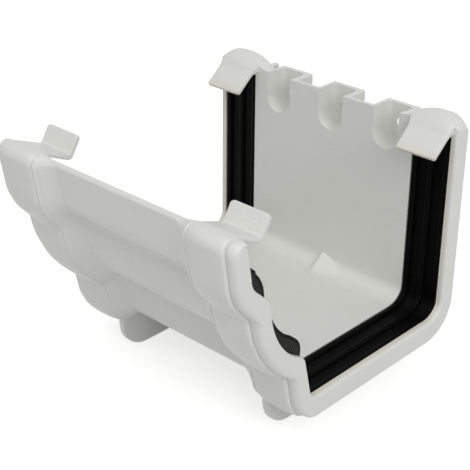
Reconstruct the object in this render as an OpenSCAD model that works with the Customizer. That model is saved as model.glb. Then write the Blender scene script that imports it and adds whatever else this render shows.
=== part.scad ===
// Gutter union bracket: a moulded trough of ogee section that joins two lengths of gutter.
// Each end carries a crowned ring with a black seal inside it and two snap clips on top.
// X runs along the gutter, -Y is the ogee front, +Y the fascia board behind, +Z is up.

/* [Trough] */
// Length along the gutter
length = 119; // [104:1:150]
// Inside width at the top, from the back wall to the front lip
trough_width = 111.8; // [100:0.1:124]
// Wall between the two rings
wall = 2.2; // [1.8:0.1:3]

/* [End rings] */
// Wall of a ring in front, before the band's crown
ring_wall = 6.1; // [5.6:0.1:7]
// Wall of a ring under the floor
ring_floor = 9; // [7:0.1:10]
// Length of a ring, from the end face to the foot of its band
ring_len = 22; // [21:0.5:26]
// Length of the plain lip outside the band
lip_len = 4.2; // [3.6:0.1:4.6]
// Height of the band above the lip
crown = 1.7; // [1:0.1:2.4]
// Height of the bead that edges the band at its foot
bead = 0.4; // [0.2:0.05:0.6]
// Length of the slope from the band down to the trough
slope_len = 8.5; // [6:0.5:10]

/* [Seals] */
// Distance from the end face to the seal
seal_start = 2.8; // [2.4:0.1:3.2]
// Width of a seal along the gutter
seal_width = 16.8; // [14:0.1:17]
// Depth of the groove that holds the seal
seal_depth = 3.8; // [3.4:0.1:4]
// Height of the seal's ribs above its web
rib_height = 1.4; // [0.8:0.1:1.8]

/* [Clips] */
// Thickness of the clip plates
clip_t = 2; // [1.6:0.1:2.4]
// Distance from the end face to a front clip
front_clip_start = 4.8; // [4:0.1:6]
// Width of a front clip
front_clip_width = 16.7; // [12:0.1:17]
// Height of a front clip's tab along its slope
front_tab = 7.7; // [6:0.1:10]
// Distance from the end face to a rear clip
rear_clip_start = 2.8; // [2.4:0.1:4]
// Width of a rear clip
rear_clip_width = 17.2; // [12:0.1:18]
// Length of a rear clip's sloping tab
rear_tab = 9.6; // [7:0.1:12]

/* [Stop rib, fixing pockets and webs] */
// Thickness of the stop rib in the middle of the trough
stop_t = 1.8; // [1.2:0.1:4]
// Reach of the stop rib along the floor
stop_reach = 10.5; // [8:0.5:14]
// Rise of the stop rib up the back wall
stop_rise = 7.2; // [6:0.2:10]
// Distance between the screw pockets
pocket_pitch = 27; // [24:0.5:30]
// Width of a pocket block
pocket_w = 15.8; // [14:0.1:18]
// Width of the open slot in a pocket
slot_w = 11.9; // [9:0.1:12]
// Distance from the trough's back wall to the fascia board
stand_off = 12.1; // [11.5:0.1:16]
// Radius of a screw hole
screw_r = 2.75; // [2:0.05:3]
// Thickness of a web
web_t = 2.6; // [2.2:0.1:4]
// How far the webs reach below the rings
web_drop = 13.9; // [10:0.1:20]

/* [Hidden] */
k = trough_width / 111.8;        // the whole section grows with its width
ring_back = ring_wall + 1.2;     // wall of a ring behind
half = length / 2;
arc_n = 8;                       // straight steps in each curve of the section

// Section in its own frame: v is 0 at the back wall's inner face, w is 0 at the floor.
lean = 9.5;                                    // slope of the front face
face_v = -110.4 * k;                           // front face at face_w
face_w = 64.5 * k;
ear_c = [-101.8, 61.1] * k;                    // turn under the front face
ear_r = 8 * k;
under = 43;                                    // slope under that turn
belly_c = [-68.5, 47.7] * k;                   // round middle of the ogee
belly_r = 31.8 * k;
foot_p = [-78.9, 4.7] * k;                     // face below the belly
foot_lean = 13.9;
toe_c = [-74.1, 4.6] * k;                      // front bottom corner
heel_c = [-8, 6] * k;                          // back bottom corner
lip = [-111.8, 73.9] * k;                      // inner top edge at the front
dome_c = [3.5, 68.9 * k];                      // the rear clip curls about this point
dome_r = 10;
dome_turn = 134;                               // where the curl meets the flat tab
wall_top_front = 73.5 * k;
wall_top_back = 77.2 * k;
web_foot = -ring_floor - web_drop;

// Where everything goes in the part's frame
deepest = face_y(ring_wall + crown - 4, top_w(ring_wall + crown) - 4) - 4;
depth = stand_off - deepest;
shift_y = depth / 2 - stand_off;
lift_z = -web_foot;

function unit(a) = [cos(a), sin(a)];
function face_y(t, w) = face_v - (w - face_w) * tan(lean) - t / cos(lean);
function top_w(t) = 74.8 * k + 0.45 * (t - ring_wall);
function arc(c, ra, rb, a0, a1, n) =
    [for (i = [0:n]) let (a = a0 + (a1 - a0) * i / n) [c[0] + ra * cos(a), c[1] + rb * sin(a)]];
// First point where a line from p along u enters an ellipse, and that point's angle on it
function enter(p, u, c, ra, rb) =
    let (d = [(p[0] - c[0]) / ra, (p[1] - c[1]) / rb], e = [u[0] / ra, u[1] / rb],
         b = d * e, q = e * e)
    p + u * (-b - sqrt(max(0, b * b - q * (d * d - 1)))) / q;
function ang(c, p, ra, rb) =
    let (a = atan2((p[1] - c[1]) / rb, (p[0] - c[0]) / ra)) a < 0 ? a + 360 : a;

// The ogee outside the hollow by t = [in front, below, behind], from the front face round
// to the back wall
function ogee(t) =
    let (a = 270 - under, ea = ear_r + t[0], eb = ear_r + t[1],
         ba = belly_r + t[0], bb = belly_r + t[1],
         turn = ear_c + [ea * cos(a), eb * sin(a)],
         slide = [-ea * sin(a), eb * cos(a)] / norm([ea * sin(a), eb * cos(a)]),
         n1 = enter(turn, slide, belly_c, ba, bb),
         n2 = enter(foot_p - [t[0] / cos(foot_lean), 0], unit(90 + foot_lean), belly_c, ba, bb))
    concat(
        arc(ear_c, ea, eb, 180 + lean, a, 5),
        [n1 - 1.8 * slide],
        arc(belly_c, ba, bb, ang(belly_c, n1, ba, bb) + 4.5, ang(belly_c, n2, ba, bb), arc_n + 2),
        arc(toe_c, 4.8 * k + t[0], 4.6 * k + t[1], 180 + foot_lean, 270, arc_n),
        arc(heel_c, 8 * k + t[2], 6 * k + t[1], 270, 360, arc_n));

// The ogee with open ends at heights wf in front and wb behind
function trough(t, wf, wb) =
    concat([[face_y(t[0], wf), wf]], ogee(t), [[t[2], wb]]);

function flip(p) = [for (i = [len(p) - 1:-1:0]) p[i]];

// Outline of a ring whose outside lies t outside the hollow, with its clips' upper faces.
// The rear clip's dome is raised by rise.
function ring(t, rise) =
    let (h = 0.45 * (t[0] - ring_wall), tw = top_w(t[0]), fr = max(0.6, min(4, t[0] - 1.2)),
         fc = [face_y(t[0] - fr, tw - fr), tw - fr],
         ta = unit(58), bend = lip + [11.1, -3.5],
         r = max(0.6, 2.3 + t[2] - ring_back), rr = dome_r + rise, mid = t[2] - r - dome_c[0],
         dz = sqrt(max(0.01, (rr - r) * (rr - r) - mid * mid)),
         a1 = atan2(dz, mid),
         te = dome_c + dome_r * unit(dome_turn))
    concat(
        [bend + (front_tab + 2) * ta, bend],
        [for (q = [[7.3, -2.2, 0.6], [3.5, -0.9, 1], [0, 0.4, 1]]) lip + [q[0], q[1] + q[2] * h]],
        arc(fc, fr, fr, 90, 180, 6),
        ogee(t),
        arc([t[2] - r, dome_c[1] + dz], r, r, 0, a1, 5),
        [for (i = [1:8]) let (a = a1 + (dome_turn - a1) * i / 8)
            dome_c + (dome_r + rise * (1 - 0.9 * i * i / 64)) * unit(a)],
        [te + (rear_tab + 3) * unit(dome_turn + 90)]);

// The same number of points along a line inside the hollow, which closes the ring's solid
function ring_core() =
    let (ta = unit(58), bend = lip + [11.1, -3.5], te = dome_c + dome_r * unit(dome_turn))
    concat(
        [bend + (front_tab + 2) * ta + 6 * unit(-32), bend + [4, -5]],
        [for (v = [9.3, 6.5, 4]) lip + [v, -9 - (9.3 - v) / 4]],
        [for (i = [0:6]) lip + [4.3, -11.9 - 0.15 * i]],
        ogee([-2.5, -2.5, -2.5]),
        [for (i = [0:5]) [-2.5, dome_c[1] - 5 + 0.2 * i]],
        [for (i = [1:8]) [-2.7 - 0.5 * i, dome_c[1] - 3.8 - 0.18 * i]],
        [te + (rear_tab + 3) * unit(dome_turn + 90) - 6 * unit(dome_turn)]);

// Sections of a ring: distance from the end face, share of the crown, narrowing of the lip
// in front, rounding of the lip all round, rise of the dome, and share of the bead
band = ring_len - lip_len;
stations = concat(
    [for (q = [
        [0, 0, 1.8, 0.3, 0.3], [0.4, 0, 1.4, 0, 0.9], [1.2, 0, 0.95, 0, 1.5], [2.4, 0, 0.45, 0, 2.2],
        [lip_len, 0, 0, 0, 2.8], [lip_len + 0.4, 0.35, 0, 0, 2.85], [lip_len + 1.2, 0.65, 0, 0, 3],
        [lip_len + 0.2 * band, 0.9, 0, 0, 3.2], [lip_len + 0.42 * band, 1, 0, 0, 3.2],
        [lip_len + 0.66 * band, 0.93, 0, 0, 2.5], [lip_len + 0.83 * band, 0.7, 0, 0, 1.5],
        [lip_len + 0.925 * band, 0.37, 0, 0, 0.8], [ring_len - 1, 0.2, 0, 0, 0.6, -0.8],
        [ring_len - 0.6, 0.12, 0, 0, 0.4, 0.35], [ring_len, 0, 0, 0, 0, 0.9]])
        let (h = crown * q[1] - q[3] + (len(q) > 5 ? bead * q[5] : 0))
        [q[0], [ring_wall + h - q[2], ring_floor + h, ring_back + h], q[4]]],
    [for (q = [[0.08, 0.02], [0.45, 0.55], [0.75, 0.83], [1, 1.01], [1.14, 1.08]])
        [ring_len + q[0] * slope_len,
         [ring_wall, ring_floor, ring_back] * (1 - q[1]) + [wall, wall, wall] * q[1],
         -4.5 * q[1]]]);

module along_x(x0, x1) translate([x0, 0, 0]) rotate([90, 0, 90]) linear_extrude(x1 - x0) children();
module both_ends() { children(); mirror([1, 0, 0]) children(); }
module place() translate([0, shift_y, lift_z]) children();

// Outside of a ring, its clips and the slope down to the trough, still solid inside
module ring_solid() {
    rows = [for (s = stations) [for (q = ring(s[1], s[2])) [half - s[0], q[0], q[1]]]];
    n = len(rows);
    m = len(rows[0]);
    in0 = n * m;
    in1 = in0 + m;
    last = (n - 1) * m;
    polyhedron(
        points = concat(
            [for (r = rows) each r],
            [for (x = [rows[0][0][0], rows[n - 1][0][0]], q = ring_core()) [x, q[0], q[1]]]),
        faces = concat(
            [for (j = [0:n - 2], i = [0:m - 2]) let (a = j * m + i)
                each [[a, a + 1, a + 1 + m], [a, a + 1 + m, a + m]]],
            [for (i = [0:m - 2]) each [
                [in0 + i, in1 + i, in1 + i + 1], [in0 + i, in1 + i + 1, in0 + i + 1],
                [i, in0 + i + 1, i + 1], [i, in0 + i, in0 + i + 1],
                [last + i, last + i + 1, in1 + i + 1], [last + i, in1 + i + 1, in1 + i]]],
            [for (j = [0:n - 2]) each [
                [in0, j * m, (j + 1) * m],
                [in1 - 1, (j + 2) * m - 1, (j + 1) * m - 1]]],
            [[in0, last, in1], [in1 - 1, in1 + m - 1, n * m - 1]]),
        convexity = 8);
}

// One plate that carries the body off its foot and reaches back to the fascia board
module web() along_x(half - ring_len, half - ring_len + web_t)
    polygon(concat(
        [[-79.4 * k, 6 * k]],
        arc([12.5 - 79.4 * k, web_foot + 12.5], 12.5, 12.5, 180, 270, arc_n),
        arc([stand_off - 4, web_foot + 4], 4, 4, 270, 360, 5),
        [[stand_off, wall_top_back], [1, wall_top_back]]));

// The space inside the trough, with the clips' lower faces left standing at the top
module hollow_under_clips() {
    bend = lip + [11.1, -3.5];
    ta = unit(58);
    tn = unit(-32);
    tab_end = bend + front_tab * ta;
    rt = rear_tab * unit(dome_turn + 90);
    ri = dome_r - clip_t;
    polygon(concat(
        [[face_y(0, lip[1] - 0.5), lip[1] - 0.5]],
        arc(bend, clip_t, clip_t, -118, -32, 4),
        [tab_end + clip_t * tn, tab_end - 4 * tn],
        [[(tab_end - 4 * tn)[0], lip[1] + 30], [(dome_c + rt + (dome_r + 4) * unit(dome_turn))[0], lip[1] + 30]],
        [dome_c + rt + (dome_r + 4) * unit(dome_turn), dome_c + rt + ri * unit(dome_turn)],
        arc(dome_c, ri, ri, dome_turn, acos(-dome_c[0] / ri), 5),
        flip(ogee([0, 0, 0]))));
}

// Cuts away what the ring outline leaves of a clip beyond the clip's own width
module no_front_clip() polygon([
    [face_y(0, lip[1] - 3), lip[1] - 3], [face_y(0, lip[1] + 20), lip[1] + 20],
    lip + [24, 20], lip + [24, -12], lip + [6, -12]]);
module no_rear_clip() polygon([
    [0, dome_c[1] + 1], [0, dome_c[1] + 30], [-25, dome_c[1] + 30], [-25, dome_c[1] - 10],
    [-5, dome_c[1] - 10]]);

// Band that follows the section between two offsets, cut level at the top
module ogee_band(t1, t2, wf, wb)
    polygon(concat(trough([1, 1.25, 1] * t1, wf, wb), flip(trough([1, 1.25, 1] * t2, wf, wb))));

// Slot for a screwdriver, round at the foot, open at the top and towards the trough
module pocket_slot() {
    r = slot_w / 2;
    back = stand_off - 2.5;
    intersection() {
        translate([0, 20, 0]) rotate([90, 0, 0]) linear_extrude(40) union() {
            translate([0, wall_top_back - 15.8 + r]) circle(r, $fn = 48);
            translate([-r, wall_top_back - 15.8 + r]) square([slot_w, 40]);
        }
        linear_extrude(wall_top_back + 30) union() {
            translate([-r, -6]) square([slot_w, back + 3.5]);
            translate([2.5 - r, -6]) square([slot_w - 5, back + 6]);
            for (i = [-1, 1]) translate([i * (r - 2.5), back - 2.5]) circle(2.5, $fn = 32);
        }
    }
}

// Low rib across the back corner that the two gutter ends stop against
module stop_rib() along_x(-stop_t / 2, stop_t / 2) intersection() {
    polygon([[-stop_reach, 0], [0, stop_rise], [wall, stop_rise], [wall, -wall], [-stop_reach, -wall]]);
    polygon(trough([1, 1, 1] * wall / 2, 20, 20));
}

module body() color([0.93, 0.93, 0.92]) place() {
    moulding();
    stop_rib();
}

module moulding() difference() {
    union() {
        both_ends() ring_solid();
        both_ends() web();
        along_x(20 - half, half - 20) 
            polygon(trough([wall, wall, wall], wall_top_front, wall_top_back));
        for (i = [-1:1]) translate([i * pocket_pitch - pocket_w / 2, 1, wall_top_back - 19])
            cube([pocket_w, stand_off - 1, 19]);
    }
    along_x(-half - 1, half + 1) hollow_under_clips();
    both_ends() along_x(half - front_clip_start, half + 1) no_front_clip();
    both_ends() along_x(half - rear_clip_start, half + 1) no_rear_clip();
    along_x(front_clip_start + front_clip_width - half, half - front_clip_start - front_clip_width)
        no_front_clip();
    along_x(rear_clip_start + rear_clip_width - half, half - rear_clip_start - rear_clip_width)
        no_rear_clip();
    both_ends() along_x(half - seal_start - seal_width, half - seal_start)
        ogee_band(seal_depth, -1, lip[1] - 3.9, dome_c[1] + 5.6);
    for (i = [-1:1]) translate([i * pocket_pitch, 0, 0]) {
        pocket_slot();
        translate([0, stand_off - 4, wall_top_back - 8.6]) rotate([-90, 0, 0])
            cylinder(h = 6, r = screw_r, $fn = 48);
    }
}

// Rubber strip with three ribs, let into the ring and level with the hollow
module seal() {
    x1 = half - seal_start - 0.1;
    w = seal_width - 0.2;
    along_x(x1 - w, x1)
        ogee_band(seal_depth - 0.05, rib_height + 0.1, lip[1] - 4.1, dome_c[1] + 5.4);
    for (i = [0:2]) along_x(x1 - w + i * (w - 2.6) / 2, x1 - w + i * (w - 2.6) / 2 + 2.6)
        ogee_band(seal_depth - 0.6, 0.1, lip[1] - 4.1, dome_c[1] + 5.4);
}
module seal_left() color([0.05, 0.05, 0.05]) place() mirror([1, 0, 0]) seal();
module seal_right() color([0.05, 0.05, 0.05]) place() seal();

body();
seal_left();
seal_right();
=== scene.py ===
import bmesh
import bpy
import numpy as np
from mathutils import Matrix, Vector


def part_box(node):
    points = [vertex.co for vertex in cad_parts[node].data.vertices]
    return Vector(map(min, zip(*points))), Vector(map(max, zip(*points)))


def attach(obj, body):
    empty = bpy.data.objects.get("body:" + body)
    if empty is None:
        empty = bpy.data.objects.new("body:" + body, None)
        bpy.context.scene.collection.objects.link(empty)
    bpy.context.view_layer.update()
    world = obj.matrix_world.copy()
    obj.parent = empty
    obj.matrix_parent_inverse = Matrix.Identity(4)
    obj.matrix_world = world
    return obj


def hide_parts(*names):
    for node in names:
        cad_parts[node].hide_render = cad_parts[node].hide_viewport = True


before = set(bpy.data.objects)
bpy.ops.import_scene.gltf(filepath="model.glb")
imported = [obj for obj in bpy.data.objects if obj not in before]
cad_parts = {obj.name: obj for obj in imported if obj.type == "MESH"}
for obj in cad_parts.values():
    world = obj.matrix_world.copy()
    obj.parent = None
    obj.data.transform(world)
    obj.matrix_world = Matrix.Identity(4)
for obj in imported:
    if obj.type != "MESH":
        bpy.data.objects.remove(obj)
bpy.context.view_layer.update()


# The moulding. One piece of white PVC, injection moulded: a trough of ogee section with a
# crowned ring and two snap clips at each end. It is a skin of even wall between an outer and
# an inner surface on one grid: rows go round the section, columns run along the gutter.
HALF = 59.5  # half the length, in mm, as all sizes of the moulding are
WALL = 2.2  # from the hollow to the outer surface of the trough, and the same for a ring:
RING_FRONT, RING_FLOOR, RING_BACK = 6.1, 9.0, 7.3
LIP_LEN, RING_LEN, SLOPE_LEN = 4.2, 22.0, 8.5  # lip and whole ring, and the slope behind it
CROWN, BEAD = 1.7, 0.46  # rise of the ring's band, and of the bead at its foot
LIP_R = (2.5, 1.1, 0.8)  # rounding of the lip's outer edge, at the front, floor and back
EDGE_R, WIDE_EDGE_R = 0.45, 1.3  # rounding of a thin edge, and of the ring's mouth
SEAL_START, SEAL_WIDTH, SEAL_DEPTH = 2.8, 16.8, 3.8
DEEPER_BELOW = 1.25  # the seal's groove is this many times as deep in the trough's floor
CLIP_T, FRONT_TAB, REAR_TAB = 2.0, 7.7, 10.2
FRONT_CLIP, REAR_CLIP = (4.8, 21.5), (2.5, 19.7)  # their two sides, from the end face
FRONT_CORNER, REAR_CORNER, FOLD_TURN = 1.7, 0.9, np.radians(220.6)  # of their tabs
TOP_FRONT, TOP_BACK = 73.5, 77.2  # tops of the walls over the trough's floor
FACE_P, LEAN = (-110.4, 64.5), np.radians(9.5)  # a point of the front face, and its lean
EAR, EAR_R, UNDER = np.array([-101.8, 61.1]), 8.0, np.radians(43)
BELLY, BELLY_R = np.array([-68.5, 47.7]), 31.8
FOOT_P, FOOT_LEAN = np.array([-78.9, 4.7]), np.radians(13.9)
TOE, TOE_R = np.array([-74.1, 4.6]), (4.8, 4.6)
HEEL, HEEL_R = np.array([-8.0, 6.0]), (8, 6)
LIP, DOME = np.array([-111.8, 73.9]), np.array([3.5, 68.9])
DOME_R, DOME_TURN = 10.0, np.radians(134)
BODY_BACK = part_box("body")[1][1] * 1000
STAND_OFF, FLOOR_UP = 12.1, 22.9  # back wall to fascia, and web foot to trough floor


def unit(angle):
    """The vector of length one at an angle: its cosine and its sine."""
    return np.array([np.cos(angle), np.sin(angle)])


def direction(d):
    """The vectors d made one long: each over its own length."""
    return d / np.linalg.norm(d, axis=-1, keepdims=True)


def ease(x, xs, ys):
    """Smooth curve through the points xs, ys: cubic pieces whose slope at a point is the
    harmonic mean of the slopes beside it, and nought where the curve turns."""
    xs, ys = np.asarray(xs, float), np.asarray(ys, float)
    d = np.diff(ys) / np.diff(xs)
    m = np.zeros(len(xs))
    same = d[:-1] * d[1:] > 0
    m[1:-1][same] = 2 * d[:-1][same] * d[1:][same] / (d[:-1] + d[1:])[same]
    m[0], m[-1] = d[0], d[-1]
    i = np.clip(np.searchsorted(xs, x) - 1, 0, len(xs) - 2)
    h = xs[i + 1] - xs[i]
    t = np.clip((x - xs[i]) / h, 0, 1)
    return ((1 + 2 * t) * (1 - t) ** 2 * ys[i] + t * (1 - t) ** 2 * h * m[i]
            + t * t * (3 - 2 * t) * ys[i + 1] + t * t * (t - 1) * h * m[i + 1])


def arc(centre, ra, rb, a0, a1, n):
    """n points of an ellipse from angle a0 to a1: centre plus (ra cos a, rb sin a), for all
    columns at once."""
    f = np.linspace(0, 1, n)[:, None]
    a = a0 + (a1 - a0) * f
    return np.stack([centre[..., 0] + ra * np.cos(a), centre[..., 1] + rb * np.sin(a)], -1)


def line(p, q, n):
    """n points between p and q at even steps, without p and q themselves."""
    f = (np.arange(1, n + 1) / (n + 1))[:, None, None]
    return p + (q - p) * f


def bend(p, c, q, n):
    """n points of the parabola from p to q that c pulls on, without p and q themselves."""
    f = (np.arange(1, n + 1) / (n + 1))[:, None, None]
    return (1 - f) ** 2 * p + 2 * f * (1 - f) * c + f * f * q


def face_y(t, w):
    """Front face at height w, t outside the hollow: a straight line that leans outwards."""
    return FACE_P[0] - (w - FACE_P[1]) * np.tan(LEAN) - t / np.cos(LEAN)


def enter(p, u, c, ra, rb):
    """Where the line from p along u first meets an ellipse: the smaller root of the
    quadratic in the space where the ellipse is a circle of radius one."""
    d = np.stack([(p[..., 0] - c[0]) / ra, (p[..., 1] - c[1]) / rb], -1)
    e = np.stack([u[..., 0] / ra, u[..., 1] / rb], -1)
    b, q = (d * e).sum(-1), (e * e).sum(-1)
    root = np.sqrt(np.maximum(0, b * b - q * ((d * d).sum(-1) - 1)))
    return p + u * ((-b - root) / q)[..., None]


def ogee(front, below, behind):
    """The ogee section, at those distances outside the hollow, from the turn under the front
    face to the back wall: arcs of grown radius for ear, belly, toe and heel. A straight line
    slides from the ear onto the belly and another leaves it for the toe, and where they meet
    the belly the corner is cut short and bent."""
    ea, eb, ba, bb = EAR_R + front, EAR_R + below, BELLY_R + front, BELLY_R + below
    a = 1.5 * np.pi - UNDER
    turn = EAR + np.stack([ea * np.cos(a), eb * np.sin(a)], -1)
    slide = direction(np.stack([-ea * np.sin(a), eb * np.cos(a)], -1))
    foot = unit(np.pi / 2 + FOOT_LEAN) + np.zeros_like(slide)
    n1 = enter(turn, slide, BELLY, ba, bb)
    n2 = enter(FOOT_P - np.stack([front / np.cos(FOOT_LEAN), 0 * front], -1), foot, BELLY, ba, bb)
    a1, a2 = (np.arctan2((n[..., 1] - BELLY[1]) / bb, (n[..., 0] - BELLY[0]) / ba) % (2 * np.pi)
              for n in (n1, n2))
    belly = arc(BELLY, ba, bb, a1 + np.radians(3.5), a2 - np.radians(2.2), 36)
    toe = arc(TOE, TOE_R[0] + front, TOE_R[1] + below, np.pi + FOOT_LEAN, 1.5 * np.pi, 14)
    heel = arc(HEEL, HEEL_R[0] + behind, HEEL_R[1] + below, 1.5 * np.pi, 2 * np.pi, 14)
    p1, p2 = n1 - 1.4 * slide, n2 - 1.2 * foot
    return np.concatenate([
        arc(EAR, ea, eb, np.pi + LEAN, a, 14), line(turn, p1, 3), p1[None],
        bend(p1, n1, belly[0], 5), belly, bend(belly[-1], n2, p2, 4), p2[None],
        line(p2, toe[0], 2), toe, line(toe[-1], heel[0], 18), heel])


# Columns along the gutter: s is a column's distance from the nearer end face and side tells
# the ends apart. They are closer where the form turns and next to a clip's sides.
edge = EDGE_R * (1 - np.cos(np.radians([0, 22, 45, 68, 90])))
cols = np.concatenate([edge, [
    0.6, 0.8, 1.05, 1.35, 1.7, 2.0, 2.4, 2.5, 2.6, 2.75, 2.8, 2.95, 3.25, 3.6, 3.8, 3.92, 4.02,
    4.1, 4.18, 4.26, 4.36, 4.5, 4.65, 4.8, 4.9, 5.05, 5.25, 5.6, 6.1, 6.8, 7.7, 8.7, 9.8, 11,
    12.2, 13.4, 14.6, 15.8, 16.9, 17.8, 18.5, 19.0, 19.25, 19.45, 19.6, 19.65, 19.7, 19.9, 20.2,
    20.4, 20.6, 20.75, 20.9, 21.05, 21.25, 21.4, 21.5, 21.65, 21.8, 22.0, 22.25, 22.5, 22.8,
    23.2, 23.7, 24.4, 25.2, 26, 27, 28, 29, 29.8, 30.5, 31.2, 33, 37, 42, 47, 53]])
s = np.concatenate([cols, [HALF], cols[::-1]])
side = np.concatenate([-np.ones(len(cols)), [0], np.ones(len(cols))])


def bell(place, width):
    """A bell curve along the gutter, one high: e to the minus square of the distance from
    its place over its width."""
    return np.exp(-(((s - place) / width) ** 2))


def cut(r, distance):
    """What a quarter circle of radius r takes off a face at a distance from its edge: r less
    the root of r squared minus the square of the rest of r."""
    return r - np.sqrt(np.maximum(0, r**2 - np.clip(r - distance, 0, r) ** 2))


# How far the outer surface stands outside the hollow at each column: a rounded lip, a fine
# crease, the crowned band, a groove and a bead at its foot, the slope and the plain trough
band = RING_LEN - LIP_LEN
share = ease(s, [0, LIP_LEN, LIP_LEN + 0.2, LIP_LEN + 0.9, LIP_LEN + 0.2 * band,
                 LIP_LEN + 0.42 * band, LIP_LEN + 0.66 * band, LIP_LEN + 0.83 * band,
                 LIP_LEN + 0.94 * band, RING_LEN, RING_LEN + 3],
             [0, 0, 0.45, 0.7, 0.9, 1, 0.93, 0.7, 0.32, 0, 0])
bead = BEAD * (bell(21.95, 0.5) - 0.9 * bell(21.0, 0.28) - 0.9 * bell(4.05, 0.17))
slope = ease(s, RING_LEN + SLOPE_LEN * np.array([0, 0.2, 0.45, 0.75, 1, 1.3]),
             [0, 0.2, 0.55, 0.85, 1, 1])
up = CROWN * share + bead
front, below, behind = (
    (ring + up) * (1 - slope) + WALL * slope - cut(r, s)
    for ring, r in zip((RING_FRONT, RING_FLOOR, RING_BACK), LIP_R))
edge_cut, mouth_cut = cut(EDGE_R, s), cut(WIDE_EDGE_R, s)

# How far the dome over a rear clip stands above a round of radius DOME_R, and the share of
# a flat top, which takes the dome's place between the rings
rise = ease(s, [0, 0.4, 1.2, 2.4, 4.2, 7.8, 11.7, 15.9, 19, 20.9, 22, 31, 60],
            [-1.7, -1.1, -0.1, 1.25, 2.45, 3.12, 3.12, 2.5, 1.5, 0.7, 0, -1, -1])
flat = ease(s, [0, 21.5, 24, 28.5, 31, 60], [0, 0, 0.25, 0.95, 1, 1])


def both(v, w):
    """One point for every column, from its two coordinates."""
    return np.stack([v + 0 * s, w + 0 * s], -1)


def tab_length(full, clip, r):
    """Length of a clip's tab at each column: full, less what a quarter circle takes off next
    to either side."""
    return (full - cut(r, np.minimum(s - clip[0], clip[1] - s)))[:, None]


def to_tip(root, tip):
    """Ten rows from a tab's root to its tip, without the root: even steps, then two rows
    close to the tip, at 0.25 and 0.1 mm from it."""
    u = direction(tip - root)
    return np.concatenate([line(root, tip - 0.25 * u, 7), (tip - 0.25 * u)[None],
                           (tip - 0.1 * u)[None], tip[None]])


# Outer surface, row by row from the tip of the front clip to the tip of the rear clip. A front
# clip is an arm from the wall's lip down to a knee, and a tab that stands up from the knee.
TAB_TURN, ARM_TURN, KNEE_BEND = np.radians(58), np.radians(-112), 0.9
knee = LIP + [11.1, -3.5]
lift = 0.45 * (front - RING_FRONT)  # the shoulder rises with the band's crown
top = np.maximum(74.8 + lift, TOP_FRONT)
shoulder_r = np.clip(front - 1.2, 0.6, 4)
lip_row = both(-111.85, np.maximum(LIP[1] + 0.4 + lift, TOP_FRONT - 0.02))
arm = direction(lip_row - knee)
shoulder = arc(np.stack([face_y(front - shoulder_r, top - shoulder_r), top - shoulder_r], -1),
               shoulder_r, shoulder_r, np.pi / 2, np.pi + LEAN, 12)
section = ogee(front, below, behind)
front_tip = knee + tab_length(FRONT_TAB, FRONT_CLIP, FRONT_CORNER) * unit(TAB_TURN)
knee_up, knee_down = both(*(knee + KNEE_BEND * unit(TAB_TURN))), knee + KNEE_BEND * arm

# A rear clip is a dome over the top of the back wall, which folds down into a tab. The dome
# leaves the wall's outer face in a smaller round, the nape, that it touches at an angle.
nape_r = np.maximum(0.6, 2.3 + behind - RING_BACK)
nape_v = behind - nape_r - DOME[0]
nape_w = np.sqrt(np.maximum(0.01, (DOME_R + rise - nape_r) ** 2 - nape_v**2))
from_nape = np.arctan2(nape_w, nape_v)
to_notch = np.arccos((mouth_cut - DOME[0]) / (DOME_R + 0.8 * rise))


def dome(a):
    """Points of the dome at angle a: its radius falls from the nape to the fold, partly as
    the square of the way and partly as a smooth step."""
    f = (a - from_nape) / (DOME_TURN - from_nape)
    radius = DOME_R + rise * (1 - 0.4 * f**2 - 0.6 * f**2 * (3 - 2 * f))
    return np.stack([DOME[0] + radius * np.cos(a), DOME[1] + radius * np.sin(a)], -1)


crest = np.concatenate([
    arc(np.stack([behind - nape_r, DOME[1] + nape_w], -1), nape_r, nape_r, 0, from_nape, 6),
    dome(from_nape + (to_notch - from_nape) * np.linspace(0, 1, 10)[1:, None])])
down = np.linspace(0, 1, 8)[1:, None]
curl = dome(to_notch + (DOME_TURN - to_notch) * down)
rear_tab = tab_length(REAR_TAB, REAR_CLIP, REAR_CORNER) * unit(FOLD_TURN)

# The flat top of the back wall: a quarter circle over the first rows, then a level line
TOP_R, TURN_SHARE = 0.5, 0.3
f = np.linspace(0, 1, 15)[:, None]
a = f / TURN_SHARE * np.pi / 2
level = np.stack([
    np.where(f < TURN_SHARE, behind - TOP_R + TOP_R * np.cos(a),
             (behind - TOP_R) * (1 - f) / (1 - TURN_SHARE)),
    np.where(f < TURN_SHARE, TOP_BACK - TOP_R + TOP_R * np.sin(a), TOP_BACK + 0 * behind)], -1)
crest = crest * (1 - flat[:, None]) + level * flat[:, None]

outer = np.concatenate([
    to_tip(knee_up, front_tip)[::-1], knee_up[None], bend(knee_up, knee, knee_down, 5),
    knee_down[None], line(knee_down, lip_row, 9), lip_row[None], line(lip_row, shoulder[0], 3),
    shoulder, line(shoulder[-1], section[0], 8), section, line(section[-1], crest[0], 24),
    crest, curl, to_tip(curl[-1], curl[-1] + rear_tab)])
FRONT_ROW = 26  # the lip's row, where a front clip leaves the wall
BACK_ROW = len(outer) - 18  # the crest's last row, where a rear clip leaves the wall

# Inner surface with the same rows: underside of the front clip, hollow, underside of the dome
# and of the rear clip
through_tab = CLIP_T * unit(TAB_TURN - np.pi / 2)
under_knee = knee_up + through_tab
under_turn = arc(both(*knee), CLIP_T, CLIP_T, TAB_TURN - np.pi / 2, ARM_TURN, 7)[1:-1]
under_arm = knee + CLIP_T * unit(ARM_TURN) + KNEE_BEND * arm
wall_top = both(face_y(edge_cut, 73.15), 73.15)
w_front = np.concatenate([[72.4, 71.2, 70.02, 69.98], np.linspace(69.3, 60.8, 19)])[:, None]
w_back = np.concatenate([np.linspace(8, 74.2, 35), [74.48, 74.52, 75.3]])[:, None]


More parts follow.
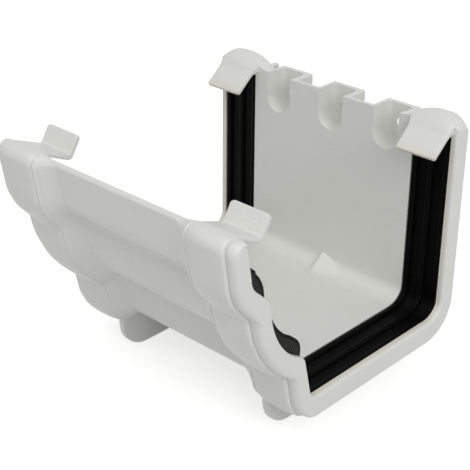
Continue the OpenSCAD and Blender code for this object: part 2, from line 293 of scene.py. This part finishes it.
def lining(front, below, behind):
    """Rows over the front face, the ogee and the back wall, at those distances outside the
    hollow."""
    return np.concatenate([np.stack([face_y(front, w_front), w_front + 0 * front], -1),
                           ogee(front, below, behind),
                           np.stack([behind + 0 * w_back, w_back + 0 * behind], -1)])


hollow = lining(edge_cut, mouth_cut, mouth_cut)
top_in = both(mouth_cut, 76.1 * (1 - flat) + (TOP_BACK - 0.35) * flat)
roof_r = DOME_R - CLIP_T
roof_start = np.arccos(-DOME[0] / roof_r)
a = roof_start + (DOME_TURN - roof_start) * down
roof = both(*DOME) + roof_r * np.stack([np.cos(a), np.sin(a)], -1)
inner = np.concatenate([
    to_tip(under_knee, front_tip + through_tab)[::-1], under_knee[None], under_turn,
    under_arm[None], line(under_arm, wall_top, 9), wall_top[None], hollow, top_in[None], roof,
    to_tip(roof[-1], roof[-1] + rear_tab)])

# The groove for a seal takes over the lining's columns and rows where the seal lies
in_groove = (s > SEAL_START) & (s < SEAL_START + SEAL_WIDTH)
depth = SEAL_DEPTH + 0 * s
groove = lining(depth, DEEPER_BELOW * depth, depth)
held = slice(3, len(hollow) - 2)  # the groove ends below the tops of the walls
inner[FRONT_ROW + 1:][held, in_groove] = groove[held, in_groove]


def soften(a, b, distance):
    """Rounds the edge of a plate with faces a and b: the two draw towards each other by what
    a quarter circle takes off at that distance from the edge."""
    pull, u = cut(EDGE_R, distance)[..., None], direction(b - a)
    return a + pull * u, b - pull * u


for clip, part, end in ((FRONT_CLIP, slice(0, FRONT_ROW), 0),
                        (REAR_CLIP, slice(BACK_ROW + 1, None), -1)):
    from_side = np.minimum(s - clip[0], clip[1] - s)
    from_tip = np.linalg.norm(outer[part] - outer[end], axis=-1)
    outer[part], inner[part] = soften(outer[part], inner[part], np.minimum(from_side, from_tip))

# Place of each corner along the gutter: a rear clip widens a little where it leaves the dome
rows, n_cols = len(outer), len(s)
past = np.arange(rows)[:, None] - BACK_ROW
near = ease(past, [-9, -3, 0, 3, 6, 9, 60], [0, 0.6, 1, 0.6, 0.2, 0, 0])
flare = near * np.interp(s, [0, REAR_CLIP[0], 8, 16, REAR_CLIP[1], 22], [0, 0.6, 0, 0, -1.4, 0])
x_outer = side * (HALF - s + flare)
x_inner = side * (HALF - s + flare * (past >= 0))

# Cells that hold material: all of the wall, and the clips only over their own width
mid_s, cell = (s[1:] + s[:-1]) / 2, np.ones((rows - 1, n_cols - 1), bool)
cell[:FRONT_ROW, (mid_s < FRONT_CLIP[0]) | (mid_s > FRONT_CLIP[1])] = False
cell[BACK_ROW:, (mid_s < REAR_CLIP[0]) | (mid_s > REAR_CLIP[1])] = False


def skin(outer, inner, cell):
    """Corners and faces of a closed shell: the outer and inner surface where there is
    material, and a wall across each border between material and none. Third, which corners
    of the two grids are used. Below, a numbers the outer corners and b the inner ones, and
    the two digits tell a cell's four corners apart."""
    rows, n_cols = outer.shape[:2]
    pts = np.concatenate([outer.reshape(-1, 3), inner.reshape(-1, 3)])
    a = np.arange(rows * n_cols).reshape(rows, n_cols)
    b = a + rows * n_cols
    pad = np.pad(cell, 1)
    left, right = cell & ~pad[1:-1, :-2], cell & ~pad[1:-1, 2:]
    above, beneath = cell & ~pad[:-2, 1:-1], cell & ~pad[2:, 1:-1]
    a00, a10, a01, a11 = a[:-1, :-1], a[1:, :-1], a[:-1, 1:], a[1:, 1:]
    b00, b10, b01, b11 = b[:-1, :-1], b[1:, :-1], b[:-1, 1:], b[1:, 1:]
    quads = [
        (cell, a00, a10, a11, a01), (cell, b00, b01, b11, b10), (left, a10, a00, b00, b10),
        (right, a01, a11, b11, b01), (above, a00, a01, b01, b00), (beneath, a11, a10, b10, b11)]
    faces = np.concatenate([np.stack([q[m] for q in qs], -1) for m, *qs in quads])
    used, faces = np.unique(faces, return_inverse=True)
    return pts[used], faces.reshape(-1, 4).tolist(), used


def mesh_object(name, pts, faces):
    """A mesh object at the origin from corners and faces. The corners are in millimetres in
    the section's frame, where the trough's inside back corner is nought, and go to metres in
    the part's frame."""
    mesh = bpy.data.meshes.new(name)
    mesh.from_pydata((pts + [0, BODY_BACK - STAND_OFF, FLOOR_UP]) / 1000, [], faces)
    mesh.validate()
    obj = bpy.data.objects.new(name, mesh)
    bpy.context.collection.objects.link(obj)
    return obj


def paint(obj, name, values):
    """Writes one number for each corner into the mesh, which a material can read."""
    obj.data.attributes.new(name, "FLOAT", "POINT").data.foreach_set("value", values)


def modify(obj, kind, **settings):
    """Puts one modifier on a piece and applies it."""
    m = obj.modifiers.new("step", kind)
    for k, v in settings.items():
        setattr(m, k, v)
    bpy.context.view_layer.objects.active = obj
    with bpy.context.temp_override(object=obj, active_object=obj):
        bpy.ops.object.modifier_apply(modifier=m.name)


def smooth(obj):
    """Shades a piece smooth, save at edges of more than 38 degrees."""
    obj.data.shade_smooth()
    obj.data.set_sharp_from_angle(angle=np.radians(38))
    modify(obj, "WEIGHTED_NORMAL", keep_sharp=True)


def at(x, grid):
    """Grid of points in space from their places along the gutter and in the section."""
    return np.dstack([np.broadcast_to(x, grid.shape[:2]), grid])


pts, faces, used = skin(at(x_outer, outer), at(x_inner, inner), cell)
moulding = mesh_object("moulding", pts, faces)

# Share of a darker yellow-brown tint: on the ring's mouth, growing towards each seal, and on a
# rear clip's tip
age = np.zeros((2, rows, n_cols))
age[1, FRONT_ROW:BACK_ROW] = np.interp(
    s, [0.4, 1.9, SEAL_START - 0.1, SEAL_START + 0.01, SEAL_START + 0.02], [0, 0.35, 1, 1, 0])
age[:, -5:] = np.linspace(0.2, 0.9, 5)[:, None]
paint(moulding, "age", age.reshape(-1)[used])


class Link:
    """A shader socket that takes part in sums: an operator adds its Math node."""

    def __init__(self, tree, socket):
        self.tree, self.socket = tree, socket

    def _math(self, op, a, b):
        """The sum, product or difference of a and b, as a node."""
        return self.tree.add("ShaderNodeMath", {"operation": op}, a, b)[0]

    def __add__(self, o):
        return self._math("ADD", self, o)

    def __mul__(self, o):
        return self._math("MULTIPLY", self, o)

    def __sub__(self, o):
        return self._math("SUBTRACT", self, o)

    def __rsub__(self, o):
        return self._math("SUBTRACT", o, self)

    __radd__, __rmul__ = __add__, __mul__


class Finish:
    """The nodes of a material or of the world."""

    def __init__(self, owner):
        owner.use_nodes = True
        self.owner, self.nodes, self.links = owner, owner.node_tree.nodes, owner.node_tree.links
        self.nodes.clear()

    def add(self, kind, settings, *values, **named):
        """Makes a node of a kind, with its settings first, then the values or links of its
        inputs, in their order or by name. Gives back its outputs."""
        node = self.nodes.new(kind)
        for k, v in settings.items():
            if k == "stops":
                ramp = node.color_ramp
                while len(ramp.elements) < len(v):
                    ramp.elements.new(0.5)
                for e, (pos, level) in zip(ramp.elements, v):
                    e.position, e.color = pos, (level, level, level, 1)
            else:
                setattr(node, k, v)
        pairs = list(zip(node.inputs, values))
        pairs += [(node.inputs[k.replace("_", " ")], v) for k, v in named.items()]
        for socket, v in pairs:
            if isinstance(v, Link):
                self.links.new(v.socket, socket)
            elif v is not None:
                socket.default_value = v
        return [Link(self, out) for out in node.outputs]

    def place(self):
        """Where a point of the surface lies on its own object, in metres."""
        return self.add("ShaderNodeTexCoord", {})[3]

    def painted(self, name):
        """The number that paint() wrote into the mesh under a name."""
        return self.add("ShaderNodeAttribute", {"attribute_name": name})[2]

    def ramp(self, value, low, high):
        """A mask from a value: nought below low, one above high, even between."""
        return self.add("ShaderNodeValToRGB", {"stops": [(low, 0), (high, 1)]}, value)[0]

    def grain(self, place, size, detail=2.0, stretch=(1, 1, 1)):
        """Noise about half, whose marks have a size in metres, drawn out along an axis by
        dividing its place by stretch."""
        spot = self.add("ShaderNodeMapping", {}, place, (0, 0, 0), (0, 0, 0),
                        tuple(1 / k for k in stretch))[0]
        return self.add("ShaderNodeTexNoise", {}, Vector=spot, Scale=1 / size, Detail=detail)[0]

    def blend(self, share, a, b):
        """Colour between a and b, by a share from nought to one."""
        return self.add("ShaderNodeMix", {"data_type": "RGBA"}, share, *[None] * 5, a, b)[2]


# White PVC: satin, with faint clouding, scuffs along the gutter's run and a darker yellow-brown
# tint by the seals
WHITE, CLOUDED = (0.77, 0.777, 0.742, 1), (0.73, 0.733, 0.692, 1)
SCUFFED, YELLOW_BROWN = (0.56, 0.56, 0.53, 1), (0.66, 0.61, 0.46, 1)
plastic = Finish(bpy.data.materials.new("white_pvc"))
place = plastic.place()
clouds = plastic.grain(place, 0.035, 3)
worn = (plastic.ramp(plastic.grain(place, 0.0011, 2, (3.5, 1, 1)), 0.60, 0.74)
        * plastic.ramp(plastic.grain(place, 0.014, 2), 0.48, 0.66))
# the share of the darker yellow-brown tint by the seals and on the rear clips' tips, read from
# the mesh
yellow = plastic.painted("age")
tone = plastic.blend(clouds, WHITE, CLOUDED)
tone = plastic.blend(worn * 0.35, tone, SCUFFED)
tone = plastic.blend(yellow * (0.35 + 0.5 * clouds), tone, YELLOW_BROWN)
relief = (plastic.grain(place, 0.0022, 2) * 0.6 + plastic.grain(place, 0.0004, 1) * 0.25
          - worn * 0.3)
bump = plastic.add("ShaderNodeBump", {}, Strength=0.12, Distance=0.0003, Height=relief)[0]
shade = plastic.add("ShaderNodeBsdfPrincipled", {}, Base_Color=tone, Normal=bump,
                    Roughness=0.33 + 0.14 * clouds + 0.2 * worn)
plastic.add("ShaderNodeOutputMaterial", {}, shade[0])
moulding.data.materials.append(plastic.owner)


# The two webs. Plates of the same moulding, which stand under the foot of each ring's band,
# carry the union on their feet and reach back to the fascia board. Each is one outline, carried
# through the plate's thickness, and its inner side is buried in the ring's wall.
WEB_X, WEB_T, FOOT, WEB_FRONT_R, WEB_BACK_R = 37.5, 2.6, -FLOOR_UP, 12.5, 4


def loft(rings, start):
    """Corners and faces of a solid through closed rings of points: quads from each ring to
    the next, and one flat face at either end. The corners are counted from start."""
    n, m = rings.shape[:2]
    a = start + np.arange(n * m).reshape(n, m)
    b = np.roll(a, -1, 1)
    quads = np.stack([a[:-1], b[:-1], b[1:], a[1:]], -1).reshape(-1, 4)
    return rings.reshape(-1, 3), quads.tolist() + [a[0, ::-1].tolist(), a[-1].tolist()]


def solid(name, *solids):
    """One object from the rings of several such solids, with its faces turned outwards."""
    pts, faces = np.empty((0, 3)), []
    for rings in solids:
        p, f = loft(rings, len(pts))
        pts, faces = np.concatenate([pts, p]), faces + f
    obj = mesh_object(name, pts, faces)
    bm = bmesh.new()
    bm.from_mesh(obj.data)
    bmesh.ops.recalc_face_normals(bm, faces=bm.faces)
    bm.to_mesh(obj.data)
    bm.free()
    obj.data.materials.append(plastic.owner)
    return obj


def curve(centre, ra, rb, a0, a1, n):
    """n points of an ellipse between two angles in degrees."""
    a = np.radians(np.linspace(a0, a1, n))
    return np.stack([centre[0] + ra * np.cos(a), centre[1] + rb * np.sin(a)], -1)


def carve(obj, other, operation):
    """Unites a piece with another or cuts the other out of it, then lets the other go."""
    modify(obj, "BOOLEAN", operation=operation, solver="EXACT", object=other)
    bpy.data.objects.remove(other)


outline = np.concatenate([
    curve((-66.9, FOOT + WEB_FRONT_R), WEB_FRONT_R, WEB_FRONT_R, 180, 270, 18),
    curve((STAND_OFF - WEB_BACK_R, FOOT + WEB_BACK_R), WEB_BACK_R, WEB_BACK_R, 270, 360, 9),
    [[STAND_OFF, TOP_BACK], [4.6, TOP_BACK]], curve(HEEL, 12.6, 11.5, 0, -90, 12),
    curve(TOE, 10.3, 10.1, 270, 239, 7)])
outline[-1, 0] = outline[0, 0]  # the last corner stands plumb over the first
webs = solid("webs", *[
    np.stack([np.column_stack([np.full(len(outline), x), outline]) for x in ends])
    for ends in ((WEB_X, WEB_X + WEB_T), (-WEB_X - WEB_T, -WEB_X))])
modify(webs, "BEVEL", width=0.00045, segments=3, limit_method="ANGLE", angle_limit=np.radians(40))
carve(moulding, webs, "UNION")


# The screw pockets. Three blocks of the same moulding behind the back wall, each hollowed
# from the trough's side by a slot with a round foot, for a screw through its back plate
# into the fascia board.
PITCH, BLOCK_W, BLOCK_H, BLOCK_R, BACK_R = 27, 15.8, 19, 0.7, 0.6
SLOT_W, SLOT_LEN, SLOT_R, PLATE = 11.9, 15.8, 2.5, 2.5
SCREW_R, SCREW_DOWN, CHAMFER = 2.75, 8.6, 0.9


def rounded(a, b, r):
    """Ring of a rectangle with half sizes a and b and corners of radius r: a quarter circle
    about each corner's centre."""
    t = np.radians(np.linspace(0, 90, 5)[None] + np.arange(4)[:, None] * 90)
    u, v = np.array([1, -1, -1, 1])[:, None], np.array([1, 1, -1, -1])[:, None]
    return np.stack([u * (a - r) + r * np.cos(t), v * (b - r) + r * np.sin(t)], -1).reshape(-1, 2)


def rings_along_v(x, w, v, grown, ring):
    """Rings in planes across v, about the line at x, w: the ring with its size changed by
    grown at each v."""
    return np.stack([np.stack([x + p[:, 0], v_i + 0 * p[:, 0], w + p[:, 1]], -1)
                     for v_i, p in ((v_i, ring(g)) for v_i, g in zip(v, grown))])


turn_in = np.radians(np.linspace(0, 90, 6))
across, along = np.cos(turn_in) - 1, np.sin(turn_in)  # a quarter circle, for a ring's rounding
centres = PITCH * np.array([-1, 0, 1])
blocks = solid("blocks", *[rings_along_v(
    x, TOP_BACK - 0.04 - BLOCK_H / 2,
    np.concatenate([[1.1], STAND_OFF - BACK_R + BACK_R * along]),
    np.concatenate([[0], BACK_R * across]),
    lambda g: rounded(BLOCK_W / 2 + g, BLOCK_H / 2 + g, BLOCK_R)) for x in centres])
holes = solid("holes", *[rings_along_v(
    x, TOP_BACK - SCREW_DOWN, [STAND_OFF - PLATE - 1.5, STAND_OFF - 0.4, STAND_OFF + 0.5],
    [0, 0, CHAMFER], lambda g: curve((0, 0), SCREW_R + g, SCREW_R + g, 0, 352, 45))
    for x in centres])
carve(blocks, holes, "DIFFERENCE")
carve(moulding, blocks, "UNION")


def slot_ring(g):
    """Ring of a slot: half an ellipse below, straight sides up past the top."""
    a = SLOT_W / 2 + g
    return np.concatenate([[[-a, 30]], curve((0, 0), a, SLOT_W / 2, 180, 360, 25), [[a, 30]]])


slots = solid("slots", *[rings_along_v(
    x, TOP_BACK - SLOT_LEN + SLOT_W / 2,
    np.concatenate([[-6], STAND_OFF - PLATE - SLOT_R + SLOT_R * along]),
    np.concatenate([[0], SLOT_R * across]), slot_ring) for x in centres])
carve(moulding, slots, "DIFFERENCE")


# The stop rib. A thin fillet of the same moulding across the trough's back corner, halfway
# along, that the two gutter ends stop against. Its left side is upright, and its right side
# runs out softly into the floor and the wall.
STOP_T, STOP_REACH, STOP_RISE = 1.8, 10.5, 7.2
outline = np.concatenate([
    [[-STOP_REACH, -0.05], [-STOP_REACH * 0.66, STOP_RISE * 0.3],
     [-STOP_REACH * 0.32, STOP_RISE * 0.64], [0.05, STOP_RISE], [1.1, STOP_RISE]],
    curve(HEEL, 9.1, 7.1, 0, -90, 8), [[-STOP_REACH, -1.1]]])

# Its size along the gutter: places from the middle, and what the outline shrinks to there
corner = np.array([0.6, -0.6])
sizes = [(-STOP_T / 2, 0.86), (0.15 - STOP_T / 2, 0.89), (0, 0.89), (0.5, 0.87), (1.3, 0.84),
         (2.4, 0.8), (3.6, 0.76), (5, 0.72), (6.5, 0.67), (8, 0.62), (9.5, 0.56), (11, 0.5)]
stop = solid("stop", np.stack([
    np.column_stack([np.full(len(outline), x), corner + (outline - corner) * k])
    for x, k in sizes]))
carve(moulding, stop, "UNION")
smooth(moulding)
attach(moulding, "root")
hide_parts("body")


# The seals. A strip of black rubber pressed into the groove of each ring, with three rounded
# ribs that bear on the gutter. It fills the section's two hollow corners, at the turn under
# the front face and at the belly's foot, with thicker pads.
RIB_W, VALLEY, CREST, BED = 2.6, 1.5, 0.1, SEAL_DEPTH - 0.05
SEAL_LOW, SEAL_HIGH = SEAL_START + 0.1, SEAL_START + SEAL_WIDTH - 0.1
RUBBER, DUSTY = (0.0012, 0.0014, 0.0018, 1), (0.003, 0.003, 0.0034, 1)
GREY = (0.03, 0.031, 0.028, 1)  # of the flanks

# From here s holds a seal's columns: close together over each rib, and three in each valley
rib_at = np.array([SEAL_LOW + RIB_W / 2, (SEAL_LOW + SEAL_HIGH) / 2, SEAL_HIGH - RIB_W / 2])
over_rib = RIB_W / 2 * np.sin(np.radians(np.linspace(-90, 90, 15)))
s = np.sort(np.concatenate([(rib_at[:, None] + over_rib).ravel(),
                            (rib_at[:2, None] + [2.6, 3.5, 4.4]).ravel()]))
d = np.clip(np.abs(s[:, None] - rib_at).min(1) / (RIB_W / 2), 0, 1)
ribs = VALLEY - (VALLEY - CREST) * np.sqrt(1 - d**4)


def strip(t, deeper):
    """Rows round the ogee, t outside the hollow, and deeper times t below it, from under the
    front lip to under the back wall's top."""
    t = t + 0 * s
    ends = both(face_y(t, 69.8), 69.8), both(t, 74.3)
    body = ogee(t, deeper * t, t)
    return np.concatenate([ends[0][None], line(ends[0], body[0], 8), body,
                           line(body[-1], ends[1], 24), ends[1][None]])


bed, top = strip(BED, DEEPER_BELOW), strip(ribs, 1)
steps = np.linalg.norm(np.diff(strip(0, 1)[:, 0], axis=0), axis=-1)
run = np.concatenate([[0], np.cumsum(steps)])  # length round the hollow, row by row
EAR_END = 22  # the row where the turn under the front face ends

# The pads: how far the rubber swells, against the length past that row
pad = ease(run - run[EAR_END], [-30, -14, -10, -6.5, -3, 1, 5.7, 8.3, 10.5, 13, 16.5, 20.4,
                                27.4, 34.4, 38, 41, 43.2, 46.6, 48.5, 200],
           [0, 0, 0.9, 4.2, 5.4, 5.1, 3.3, 1.4, 0.4, 0.5, 2.4, 3.4,
            4.1, 5.1, 5.7, 5.5, 4.7, 1.8, 0.4, 0])
top = top + pad[:, None, None] * direction(top - bed)

# Black rubber: dull, with a little dust, and fine ridges round its two flanks
rubber = Finish(bpy.data.materials.new("black_rubber"))
place, flank = rubber.place(), rubber.painted("flank")
ridges = rubber.add("ShaderNodeMath", {"operation": "SINE"},
                    rubber.painted("run") * (2 * np.pi / 1.1))[0]
dust = rubber.grain(place, 0.004, 4)
tone = rubber.blend(dust, RUBBER, DUSTY)
tone = rubber.blend(flank * (0.5 + 0.35 * ridges + 0.5 * dust), tone, GREY)
relief = flank * ridges * 0.5 + rubber.grain(place, 0.0008, 2) * 0.4
bump = rubber.add("ShaderNodeBump", {}, Strength=0.3, Distance=0.0003, Height=relief)[0]
shade = rubber.add("ShaderNodeBsdfPrincipled", {}, Base_Color=tone, Normal=bump,
                   Roughness=0.34 + 0.2 * dust, Specular_IOR_Level=0.04)
rubber.add("ShaderNodeOutputMaterial", {}, shade[0])

for name, hand in (("seal_left", -1), ("seal_right", 1)):
    x = hand * (HALF - s)
    order = np.argsort(x)
    grids = at(x[order], bed[:, order]), at(x[order], top[:, order])
    pts, faces, used = skin(*grids, np.ones((len(bed) - 1, len(s) - 1), bool))
    seal = mesh_object(name + "_strip", pts, faces)
    is_flank = np.zeros((2, len(bed), len(s)))
    is_flank[:, :, [0, -1]] = 1
    rounds = np.broadcast_to(run[:, None], is_flank.shape)
    paint(seal, "flank", is_flank.reshape(-1)[used])
    paint(seal, "run", rounds.reshape(-1)[used])
    seal.data.materials.append(rubber.owner)
    smooth(seal)
    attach(seal, "root")
    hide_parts(name)


# The floor. A plain pale sheet under the webs' feet, which is no part of the union. It shows
# white to the camera and in gloss, and it still takes the union's soft shadow.
FLOOR_HALF, FLOOR_GAP, FLOOR_GLOW, FLOOR_TONE = 3000, 0.2, 0.66, 0.6
square = FLOOR_HALF * np.array([[-1, -1, 0], [1, -1, 0], [1, 1, 0], [-1, 1, 0]])
floor = mesh_object("floor", square - [0, BODY_BACK - STAND_OFF, FLOOR_UP + FLOOR_GAP],
                    [[0, 1, 2, 3]])


def is_seen(finish):
    """One where a ray comes from the camera, from gloss or through glass, else nought."""
    ray = finish.add("ShaderNodeLightPath", {})
    either = finish.add("ShaderNodeMath", {"operation": "MAXIMUM"}, ray[0], ray[3])[0]
    return finish.add("ShaderNodeMath", {"operation": "MAXIMUM"}, either, ray[6])[0]


paper = Finish(bpy.data.materials.new("white_floor"))
glow = paper.blend(is_seen(paper), (0, 0, 0, 1), (FLOOR_GLOW, FLOOR_GLOW, FLOOR_GLOW, 1))
shade = paper.add("ShaderNodeBsdfPrincipled", {}, Roughness=0.9, Emission_Strength=1.0,
                  Base_Color=(FLOOR_TONE, FLOOR_TONE, FLOOR_TONE, 1), Emission_Color=glow)
paper.add("ShaderNodeOutputMaterial", {}, shade[0])
floor.data.materials.append(paper.owner)


# The light. An even white room, which the camera sees at full strength, a broad lamp on the
# right that brightens what faces it, and a weaker lamp overhead.
SKY = 0.50
studio = bpy.data.worlds.new("studio")
room = Finish(studio)
shade = room.add("ShaderNodeBackground", {}, (1, 1, 1, 1), SKY + (1 - SKY) * is_seen(room))
room.add("ShaderNodeOutputWorld", {}, shade[0])
bpy.context.scene.world = studio
bpy.context.scene.view_settings.view_transform = "Standard"


def stand(name, data, place, axes):
    """Puts a lamp or a camera at a place, with axes for its right, its up and its back."""
    obj = bpy.data.objects.new(name, data)
    turned = Matrix(np.stack(axes, -1).tolist())
    obj.matrix_world = Matrix.Translation(place) @ turned.to_4x4()
    bpy.context.collection.objects.link(obj)
    return obj


def lamp(name, place, power):
    """A square area lamp of a power in watts, turned to face the middle of the union."""
    data = bpy.data.lights.new(name, "AREA")
    data.size, data.energy = 0.9, power
    back = direction(np.array(place, float) - (0, 0, 0.05))
    right = direction(np.cross([0, 0, 1], back))
    stand(name, data, place, (right, np.cross(back, right), back))


lamp("key", (1.1, -0.5, 0.9), 7.6)
lamp("overhead", (-0.1, -0.6, 1.35), 3.2)

# The camera. It stands at the photograph's place, with its turn, tilt and roll about the part
# and its focal length, which is measured in widths of the picture.
TURN, TILT, ROLL = np.radians([43.205, 27.196, 0.391])
PHOTO_W, FOCAL, FILM = 470, 1194.7, 36  # the first two in pixels, the film in mm
back = np.array([np.sin(TURN) * np.cos(TILT), -np.cos(TURN) * np.cos(TILT), np.sin(TILT)])
right = np.array([np.cos(TURN), np.sin(TURN), 0])
up = np.cross(back, right)
right, up = (np.cos(ROLL) * right + np.sin(ROLL) * up, np.cos(ROLL) * up - np.sin(ROLL) * right)
data = bpy.data.cameras.new("camera")
data.sensor_width, data.lens, data.clip_start = FILM, FOCAL / PHOTO_W * FILM, 0.01
bpy.context.scene.camera = stand("camera", data, (0.27532, -0.29377, 0.26408), (right, up, back))
